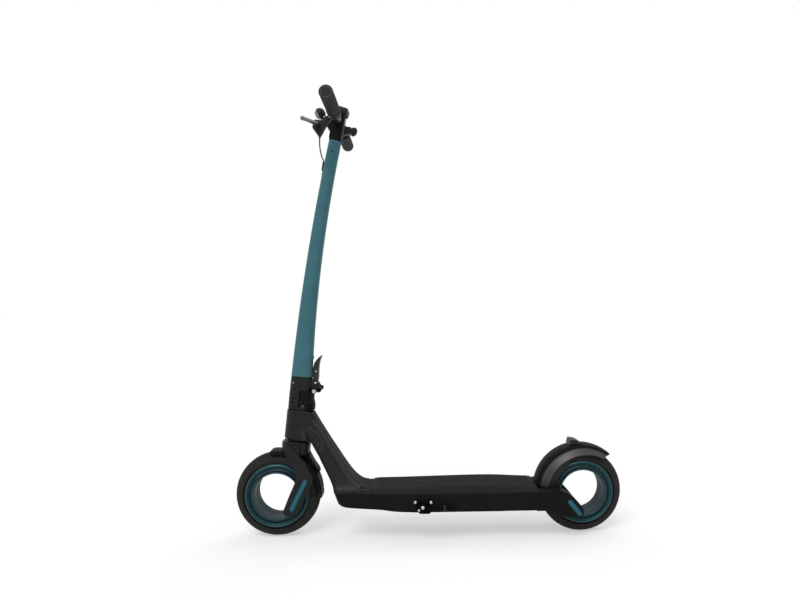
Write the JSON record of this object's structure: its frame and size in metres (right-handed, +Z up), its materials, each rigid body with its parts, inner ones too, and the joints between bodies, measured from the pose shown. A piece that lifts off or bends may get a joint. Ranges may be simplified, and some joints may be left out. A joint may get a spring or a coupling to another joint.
{
  "type": "folding electric kick scooter",
  "caption": "Folding electric kick scooter with open-centre wheels, a curved oval stem, a hinged collar, a flat battery deck, a wrap-round rear fender and a side stand.",
  "frame": {"origin": "the ground, midway between the two axles, below the middle of the part's bounding box", "axes": "+Z up, -X towards the front wheel, -Y towards the side with the kickstand"},
  "size_m": [1.005, 0.439, 1.1094],
  "materials": {
    "frame_black": "satin",
    "black_metal": "satin",
    "stem_teal": "satin",
    "ring_teal": "satin",
    "black_plastic": "matte",
    "black_rubber": "matte",
    "deck_rubber": "matte",
    "tyre_rubber": "matte",
    "bearing_steel": "satin",
    "dark_steel": "satin",
    "controller_case": "satin",
    "copper_windings": "satin",
    "lamp_glass": "gloss",
    "red_lens": "gloss",
    "battery_wrap": "satin"
  },
  "bodies": {
    "frame": {"head_tube": "frame_black", "neck": "frame_black", "deck_tray": "frame_black", "deck_cover": "black_metal", "deck_mat": "deck_rubber", "battery_pack": "battery_wrap", "controller": "controller_case", "rear_arm_left": "frame_black", "rear_arm_right": "frame_black", "rear_fender": "black_plastic", "tail_lamp": "black_plastic", "tail_lens": "red_lens", "headset_bearing_upper": "bearing_steel", "headset_bearing_lower": "bearing_steel", "kickstand_bracket": "black_metal", "charge_port": "black_plastic", "rear_sleeve": "ring_teal", "rear_brake_band": "dark_steel", "rear_bearing_left": "bearing_steel", "rear_bearing_right": "bearing_steel"},
    "fork": {"steerer_tube": "bearing_steel", "fork_crown": "frame_black", "fork_leg_left": "frame_black", "fork_leg_right": "frame_black", "front_fender": "black_plastic", "hinge_block": "frame_black", "hinge_pin": "bearing_steel", "front_sleeve": "ring_teal", "front_stator": "copper_windings", "front_bearing_left": "bearing_steel", "front_bearing_right": "bearing_steel"},
    "stem": {"stem_collar": "frame_black", "stem_tube": "stem_teal", "stem_head": "black_plastic", "handlebar": "black_metal", "grip_left": "black_rubber", "grip_right": "black_rubber", "brake_housing": "black_plastic", "brake_cable": "black_rubber", "cable_gland": "black_plastic", "headlamp": "black_plastic", "headlamp_lens": "lamp_glass", "display": "black_plastic", "throttle_housing": "black_plastic"},
    "front_wheel": {"front_tyre": "tyre_rubber", "front_rim": "black_metal", "front_ring_left": "ring_teal", "front_ring_right": "ring_teal"},
    "rear_wheel": {"rear_tyre": "tyre_rubber", "rear_rim": "black_metal", "rear_ring_left": "ring_teal", "rear_ring_right": "ring_teal"},
    "release_lever": {"fold_lever": "black_metal"},
    "catch_knob": {"lock_knob": "dark_steel"},
    "brake_handle": {"brake_lever": "black_metal"},
    "thumb_paddle": {"throttle_paddle": "black_plastic"},
    "button": {"power_button": "black_plastic"},
    "port_cap": {"charge_cap": "black_rubber"},
    "stand_leg": {"kickstand_leg": "black_metal"}
  },
  "joints": [
    {"name": "steering", "type": "hinge", "parent": "frame", "child": "fork", "pos_m": [-0.3458, 0, 0.243], "axis": [0.0872, 0, 0.9962], "range_deg": [-60, 60]},
    {"name": "stem_fold", "type": "hinge", "parent": "fork", "child": "stem", "pos_m": [-0.30109, 0, 0.3731], "axis": [0, 1, 0], "range_deg": [0, 93]},
    {"name": "front_wheel_spin", "type": "hinge", "parent": "fork", "child": "front_wheel", "pos_m": [-0.3945, 0, 0.108], "axis": [0, 1, 0], "continuous": true},
    {"name": "rear_wheel_spin", "type": "hinge", "parent": "frame", "child": "rear_wheel", "pos_m": [0.3945, 0, 0.108], "axis": [0, 1, 0], "continuous": true},
    {"name": "release_lever_swing", "type": "hinge", "parent": "stem", "child": "release_lever", "pos_m": [-0.29901, 0, 0.39349], "axis": [0, 1, 0], "range_deg": [0, 60]},
    {"name": "catch_knob_turn", "type": "hinge", "parent": "stem", "child": "catch_knob", "pos_m": [-0.28881, 0, 0.37805], "axis": [0, 1, 0], "range_deg": [0, 90]},
    {"name": "brake_pull", "type": "hinge", "parent": "stem", "child": "brake_handle", "pos_m": [-0.28411, -0.0923, 1.039], "axis": [-0.6112, 0, 0.7915], "range_deg": [0, 20], "stiffness_Nm_per_rad": 0.8, "springref_deg": -8.59},
    {"name": "throttle_press", "type": "hinge", "parent": "stem", "child": "thumb_paddle", "pos_m": [-0.22161, 0.0825, 1.0735], "axis": [0, 1, 0], "range_deg": [0, 30], "stiffness_Nm_per_rad": 0.04, "springref_deg": -8.59},
    {"name": "button_press", "type": "slide", "parent": "stem", "child": "button", "axis": [-0.2756, 0, -0.9613], "range_m": [0, 0.0012], "stiffness_N_per_m": 200, "springref_m": -0.001},
    {"name": "stand_swing", "type": "hinge", "parent": "frame", "child": "stand_leg", "pos_m": [-0.0225, -0.0758, 0.0848], "axis": [0, 0.9397, -0.342], "range_deg": [0, 100]},
    {"name": "port_cap_swing", "type": "hinge", "parent": "frame", "child": "port_cap", "pos_m": [-0.0195, 0.0743, 0.1118], "axis": [1, 0, 0], "range_deg": [0, 110]}
  ]
}
